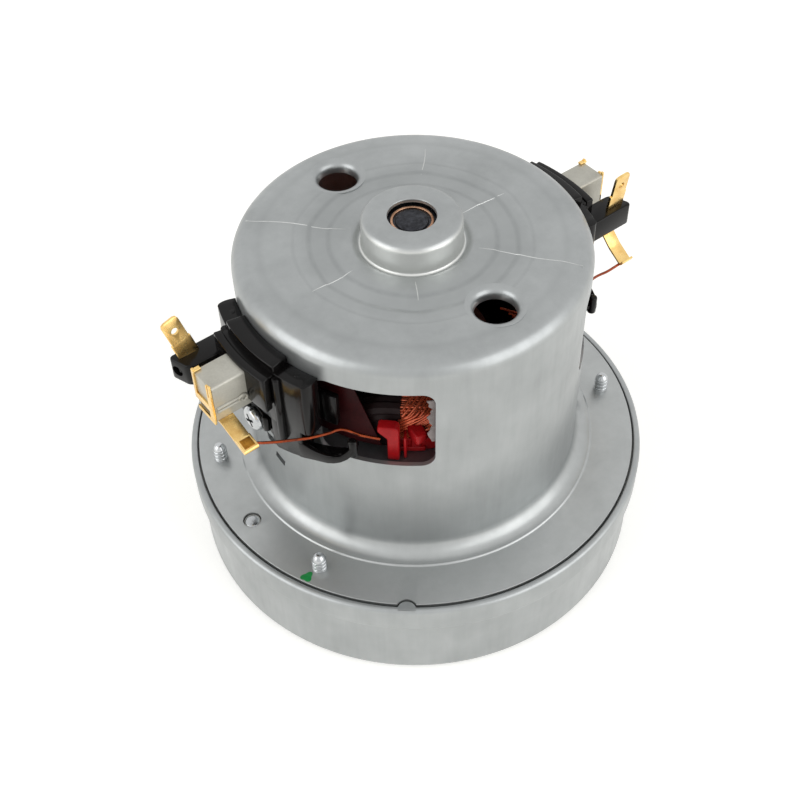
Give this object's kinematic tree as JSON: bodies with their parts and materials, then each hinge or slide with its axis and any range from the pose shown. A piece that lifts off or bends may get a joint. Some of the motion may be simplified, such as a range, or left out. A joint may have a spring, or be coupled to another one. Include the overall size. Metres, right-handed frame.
{
  "type": "vacuum motor unit",
  "caption": "Brushed vacuum cleaner motor in a drawn steel can with sprung carbon brushes, standing on a radial fan stage with an air inlet in its base.",
  "frame": {"origin": "on the shaft's axis, at the outer face of the fan cover that the motor stands on", "axes": "+Z along the shaft from the fan cover to the bearing hub, +X along the brush axis to the right brush"},
  "size_m": [0.13, 0.13, 0.1078],
  "materials": {
    "drawn_steel": "zinc plated, satin",
    "zinc_steel": "zinc plated, bright",
    "fan_sheet": "mill finish",
    "grey_plastic": "matt moulded",
    "core_steel": "stacked sheet",
    "red_plastic": "gloss moulded",
    "enamelled_copper": "enamelled",
    "bar_copper": "turned",
    "black_plastic": "gloss moulded",
    "brass": "stamped",
    "bearing_steel": "ground",
    "rubber": "matt",
    "fibre": "pressed fibre",
    "carbon": "pressed carbon",
    "spring_steel": "drawn wire"
  },
  "bodies": {
    "housing": {"motor_housing": "drawn_steel", "fan_cover": "drawn_steel", "lower_bracket": "zinc_steel", "diffuser": "grey_plastic", "stator_core": "core_steel", "field_former_front": "red_plastic", "field_former_back": "red_plastic", "field_coil_front": "enamelled_copper", "field_coil_back": "enamelled_copper", "field_winding_front": "enamelled_copper", "field_winding_back": "enamelled_copper", "brush_holder_left": "black_plastic", "brush_holder_right": "black_plastic", "brush_tube_left": "zinc_steel", "brush_tube_right": "zinc_steel", "brush_terminal_left": "brass", "brush_terminal_right": "brass", "spade_terminal_left": "brass", "spade_terminal_right": "brass", "holder_screws": "zinc_steel", "flange_screws": "zinc_steel", "lead_wire_left": "enamelled_copper", "lead_wire_right": "enamelled_copper", "upper_bearing_outer": "bearing_steel", "lower_bearing_outer": "bearing_steel", "upper_bearing_shields": "zinc_steel", "lower_bearing_shields": "zinc_steel", "bearing_sleeve": "rubber", "wave_washer": "zinc_steel"},
    "rotor": {"shaft": "bearing_steel", "armature_core": "core_steel", "armature_insulators": "fibre", "armature_winding": "enamelled_copper", "shaft_sleeve": "fibre", "commutator_hub": "fibre", "commutator_bars": "bar_copper", "upper_bearing_inner": "bearing_steel", "lower_bearing_inner": "bearing_steel", "fan_back_plate": "fan_sheet", "fan_blades": "fan_sheet", "fan_front_plate": "fan_sheet", "fan_spacer": "zinc_steel", "fan_washer": "zinc_steel", "fan_nut": "zinc_steel"},
    "upper_balls": {"upper_bearing_balls": "bearing_steel", "upper_bearing_cage": "brass"},
    "lower_balls": {"lower_bearing_balls": "bearing_steel", "lower_bearing_cage": "brass"},
    "left_brush": {"carbon_brush_left": "carbon", "brush_spring_left": "spring_steel", "brush_pigtail_left": "enamelled_copper"},
    "right_brush": {"carbon_brush_right": "carbon", "brush_spring_right": "spring_steel", "brush_pigtail_right": "enamelled_copper"}
  },
  "joints": [
    {"name": "rotor_spin", "type": "hinge", "parent": "housing", "child": "rotor", "pos_m": [0, 0, 0], "axis": [0, 0, 1], "continuous": true},
    {"name": "upper_balls_spin", "type": "hinge", "parent": "housing", "child": "upper_balls", "pos_m": [0, 0, 0], "axis": [0, 0, 1], "continuous": true},
    {"name": "lower_balls_spin", "type": "hinge", "parent": "housing", "child": "lower_balls", "pos_m": [0, 0, 0], "axis": [0, 0, 1], "continuous": true},
    {"name": "brush_left_slide", "type": "slide", "parent": "housing", "child": "left_brush", "axis": [-1, 0, 0], "range_m": [0, 0.008], "stiffness_N_per_m": 100, "springref_m": -0.02, "deforming": ["brush_spring_left", "brush_pigtail_left"]},
    {"name": "brush_right_slide", "type": "slide", "parent": "housing", "child": "right_brush", "axis": [1, 0, 0], "range_m": [0, 0.008], "stiffness_N_per_m": 100, "springref_m": -0.02, "deforming": ["brush_spring_right", "brush_pigtail_right"]}
  ],
  "couplings": [
    {"joint": "upper_balls_spin", "follows": "rotor_spin", "ratio": 0.36667},
    {"joint": "lower_balls_spin", "follows": "rotor_spin", "ratio": 0.36667}
  ]
}
